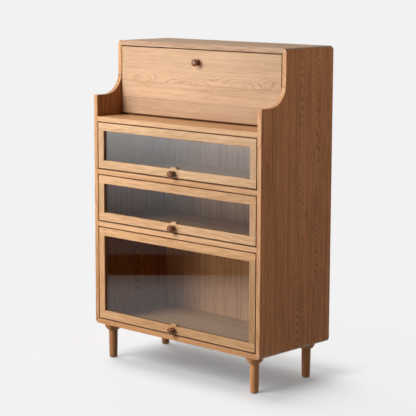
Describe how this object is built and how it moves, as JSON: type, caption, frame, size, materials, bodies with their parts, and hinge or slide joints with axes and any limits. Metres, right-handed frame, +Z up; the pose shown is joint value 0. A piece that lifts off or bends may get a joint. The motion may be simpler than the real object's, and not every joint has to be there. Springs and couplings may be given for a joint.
{
  "type": "glass-front cabinet",
  "caption": "Stepped oak cabinet on turned legs, with lift-up glass doors below a narrow counter and a drop-front compartment above it.",
  "frame": {"origin": "on the floor, below the middle of the whole outline with its knobs", "axes": "+X to the right along the front, +Y towards the wall behind, +Z up"},
  "size_m": [0.8, 0.396, 1.16],
  "materials": {
    "oak": "clear satin oil over open-grained oak",
    "oak_back": "clear satin oil over oak-faced board",
    "walnut": "satin lacquer over turned dark wood",
    "beech": "bare wood, glued in",
    "glass": "clear float glass",
    "steel": "zinc plated",
    "brass": "plain turned brass",
    "nylon": "brown moulded nylon",
    "felt": "pressed felt"
  },
  "bodies": {
    "carcass": {"left_side_panel": "oak", "right_side_panel": "oak", "top_panel": "oak", "bottom_panel": "oak", "back_panel": "oak_back", "corner_splines": "beech", "shelf_dowels": "beech", "back_panel_screws": "steel", "pivot_bushes": "nylon", "lower_shelf": "oak", "upper_shelf": "oak", "counter_panel": "oak", "catch_housings": "nylon", "catch_magnets": "steel", "catch_screws": "steel", "front_left_leg": "oak", "front_right_leg": "oak", "back_left_leg": "oak", "back_right_leg": "oak", "leg_bolts": "steel", "leg_inserts": "brass", "foot_pads": "felt"},
    "upper_door": {"upper_door_bottom_rail": "oak", "upper_door_top_rail": "oak", "upper_door_left_stile": "oak", "upper_door_right_stile": "oak", "upper_door_glass": "glass", "upper_door_glazing_beads": "oak", "upper_door_knob": "walnut", "upper_door_knob_screw": "steel", "upper_door_pivot_pins": "steel", "upper_door_strike_plate": "steel"},
    "middle_door": {"middle_door_bottom_rail": "oak", "middle_door_top_rail": "oak", "middle_door_left_stile": "oak", "middle_door_right_stile": "oak", "middle_door_glass": "glass", "middle_door_glazing_beads": "oak", "middle_door_knob": "walnut", "middle_door_knob_screw": "steel", "middle_door_pivot_pins": "steel", "middle_door_strike_plate": "steel"},
    "lower_door": {"lower_door_bottom_rail": "oak", "lower_door_top_rail": "oak", "lower_door_left_stile": "oak", "lower_door_right_stile": "oak", "lower_door_glass": "glass", "lower_door_glazing_beads": "oak", "lower_door_knob": "walnut", "lower_door_knob_screw": "steel", "lower_door_pivot_pins": "steel", "lower_door_strike_plate": "steel"},
    "flap": {"flap_panel": "oak", "flap_knob": "walnut", "flap_knob_screw": "steel", "flap_pivot_pins": "steel", "flap_strike_plate": "steel"}
  },
  "joints": [
    {"name": "upper_door_lift", "type": "hinge", "parent": "carcass", "child": "upper_door", "pos_m": [0, -0.165, 0.856], "axis": [-1, 0, 0], "range_deg": [0, 90]},
    {"name": "middle_door_lift", "type": "hinge", "parent": "carcass", "child": "middle_door", "pos_m": [0, -0.165, 0.665], "axis": [-1, 0, 0], "range_deg": [0, 90]},
    {"name": "lower_door_lift", "type": "hinge", "parent": "carcass", "child": "lower_door", "pos_m": [0, -0.165, 0.474], "axis": [-1, 0, 0], "range_deg": [0, 90]},
    {"name": "flap_drop", "type": "hinge", "parent": "carcass", "child": "flap", "pos_m": [0, -0.038, 0.904], "axis": [1, 0, 0], "range_deg": [0, 90]}
  ]
}
